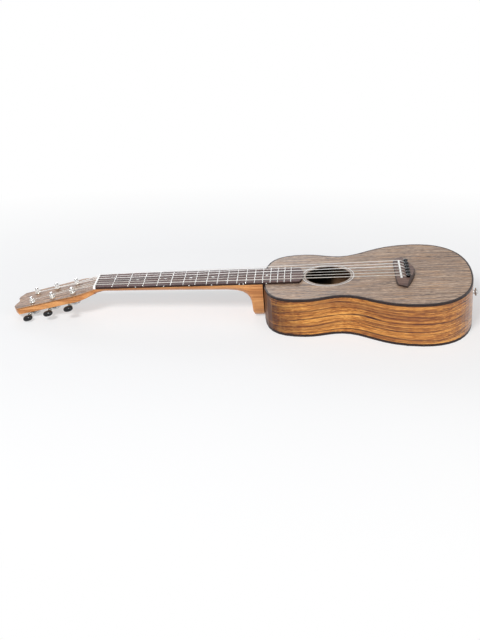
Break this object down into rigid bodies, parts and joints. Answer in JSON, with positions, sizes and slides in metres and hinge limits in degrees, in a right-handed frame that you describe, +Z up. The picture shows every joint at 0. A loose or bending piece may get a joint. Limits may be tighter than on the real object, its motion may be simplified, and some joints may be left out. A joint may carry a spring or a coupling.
{
  "type": "guitalele",
  "caption": "Small guitar with nylon strings, a waisted hollow body, a round sound hole, a pinned bridge, and geared tuners on an angled headstock.",
  "frame": {"origin": "in the middle of the flat back", "axes": "+X from the headstock to the tail, +Z up out of the back, +Y to the treble strings' side"},
  "size_m": [0.6698, 0.2118, 0.0722],
  "materials": {
    "top_wood": "satin",
    "side_wood": "satin",
    "neck_wood": "satin",
    "fretboard_wood": "satin",
    "inside_wood": "bare",
    "bridge_wood": "satin",
    "binding": "gloss",
    "rosette_ring": "satin",
    "bone": "satin",
    "chrome": "polished",
    "glossy_black": "gloss",
    "nylon": "gloss",
    "wound_string": "wound"
  },
  "bodies": {
    "instrument": {"soundboard": "top_wood", "back_plate": "side_wood", "side_bass": "side_wood", "side_treble": "side_wood", "top_binding": "binding", "back_binding": "binding", "rosette": "rosette_ring", "top_lining": "inside_wood", "back_lining": "inside_wood", "neck_block": "inside_wood", "tail_block": "inside_wood", "top_brace_upper": "inside_wood", "top_brace_lower": "inside_wood", "back_brace_upper": "inside_wood", "back_brace_lower": "inside_wood", "bridge_plate": "inside_wood", "neck": "neck_wood", "headstock_veneer": "top_wood", "fretboard": "fretboard_wood", "nut": "bone", "saddle": "bone", "bridge": "bridge_wood", "strap_button": "chrome", "strap_screw": "chrome", "string_1": "nylon", "string_2": "nylon", "string_3": "nylon", "string_4": "wound_string", "string_5": "wound_string", "string_6": "wound_string", "tuner_frame_1": "chrome", "tuner_frame_2": "chrome", "tuner_frame_3": "chrome", "tuner_frame_4": "chrome", "tuner_frame_5": "chrome", "tuner_frame_6": "chrome"},
    "tuning_key_1": {"tuner_worm_1": "chrome", "tuner_knob_1": "glossy_black"},
    "string_post_1": {"tuner_post_1": "chrome"},
    "tuning_key_2": {"tuner_worm_2": "chrome", "tuner_knob_2": "glossy_black"},
    "string_post_2": {"tuner_post_2": "chrome"},
    "tuning_key_3": {"tuner_worm_3": "chrome", "tuner_knob_3": "glossy_black"},
    "string_post_3": {"tuner_post_3": "chrome"},
    "tuning_key_4": {"tuner_worm_4": "chrome", "tuner_knob_4": "glossy_black"},
    "string_post_4": {"tuner_post_4": "chrome"},
    "tuning_key_5": {"tuner_worm_5": "chrome", "tuner_knob_5": "glossy_black"},
    "string_post_5": {"tuner_post_5": "chrome"},
    "tuning_key_6": {"tuner_worm_6": "chrome", "tuner_knob_6": "glossy_black"},
    "string_post_6": {"tuner_post_6": "chrome"},
    "pin_1": {"bridge_pin_1": "glossy_black"},
    "pin_2": {"bridge_pin_2": "glossy_black"},
    "pin_3": {"bridge_pin_3": "glossy_black"},
    "pin_4": {"bridge_pin_4": "glossy_black"},
    "pin_5": {"bridge_pin_5": "glossy_black"},
    "pin_6": {"bridge_pin_6": "glossy_black"}
  },
  "joints": [
    {"name": "turn_key_1", "type": "hinge", "parent": "instrument", "child": "tuning_key_1", "pos_m": [-0.42964, 0.0163, 0.02], "axis": [0, 1, 0], "continuous": true},
    {"name": "turn_post_1", "type": "hinge", "parent": "instrument", "child": "string_post_1", "pos_m": [-0.42512, 0.0163, 0.03681], "axis": [-0.2446, 0, 0.9696], "continuous": true},
    {"name": "turn_key_2", "type": "hinge", "parent": "instrument", "child": "tuning_key_2", "pos_m": [-0.46009, 0.0163, 0.01231], "axis": [0, 1, 0], "continuous": true},
    {"name": "turn_post_2", "type": "hinge", "parent": "instrument", "child": "string_post_2", "pos_m": [-0.45557, 0.0163, 0.02913], "axis": [-0.2446, 0, 0.9696], "continuous": true},
    {"name": "turn_key_3", "type": "hinge", "parent": "instrument", "child": "tuning_key_3", "pos_m": [-0.49054, 0.0163, 0.00463], "axis": [0, 1, 0], "continuous": true},
    {"name": "turn_post_3", "type": "hinge", "parent": "instrument", "child": "string_post_3", "pos_m": [-0.48601, 0.0163, 0.02145], "axis": [-0.2446, 0, 0.9696], "continuous": true},
    {"name": "turn_key_4", "type": "hinge", "parent": "instrument", "child": "tuning_key_4", "pos_m": [-0.49054, -0.0163, 0.00463], "axis": [0, 1, 0], "continuous": true},
    {"name": "turn_post_4", "type": "hinge", "parent": "instrument", "child": "string_post_4", "pos_m": [-0.48601, -0.0163, 0.02145], "axis": [-0.2446, 0, 0.9696], "continuous": true},
    {"name": "turn_key_5", "type": "hinge", "parent": "instrument", "child": "tuning_key_5", "pos_m": [-0.46009, -0.0163, 0.01231], "axis": [0, 1, 0], "continuous": true},
    {"name": "turn_post_5", "type": "hinge", "parent": "instrument", "child": "string_post_5", "pos_m": [-0.45557, -0.0163, 0.02913], "axis": [-0.2446, 0, 0.9696], "continuous": true},
    {"name": "turn_key_6", "type": "hinge", "parent": "instrument", "child": "tuning_key_6", "pos_m": [-0.42964, -0.0163, 0.02], "axis": [0, 1, 0], "continuous": true},
    {"name": "turn_post_6", "type": "hinge", "parent": "instrument", "child": "string_post_6", "pos_m": [-0.42512, -0.0163, 0.03681], "axis": [-0.2446, 0, 0.9696], "continuous": true},
    {"name": "lift_pin_1", "type": "slide", "parent": "instrument", "child": "pin_1", "axis": [-0.0377, 0, 0.9993], "range_m": [0, 0.022]},
    {"name": "lift_pin_2", "type": "slide", "parent": "instrument", "child": "pin_2", "axis": [-0.0377, 0, 0.9993], "range_m": [0, 0.022]},
    {"name": "lift_pin_3", "type": "slide", "parent": "instrument", "child": "pin_3", "axis": [-0.0377, 0, 0.9993], "range_m": [0, 0.022]},
    {"name": "lift_pin_4", "type": "slide", "parent": "instrument", "child": "pin_4", "axis": [-0.0377, 0, 0.9993], "range_m": [0, 0.022]},
    {"name": "lift_pin_5", "type": "slide", "parent": "instrument", "child": "pin_5", "axis": [-0.0377, 0, 0.9993], "range_m": [0, 0.022]},
    {"name": "lift_pin_6", "type": "slide", "parent": "instrument", "child": "pin_6", "axis": [-0.0377, 0, 0.9993], "range_m": [0, 0.022]}
  ],
  "couplings": [
    {"joint": "turn_post_1", "follows": "turn_key_1", "ratio": 0.071429},
    {"joint": "turn_post_2", "follows": "turn_key_2", "ratio": 0.071429},
    {"joint": "turn_post_3", "follows": "turn_key_3", "ratio": 0.071429},
    {"joint": "turn_post_4", "follows": "turn_key_4", "ratio": 0.071429},
    {"joint": "turn_post_5", "follows": "turn_key_5", "ratio": 0.071429},
    {"joint": "turn_post_6", "follows": "turn_key_6", "ratio": 0.071429}
  ]
}
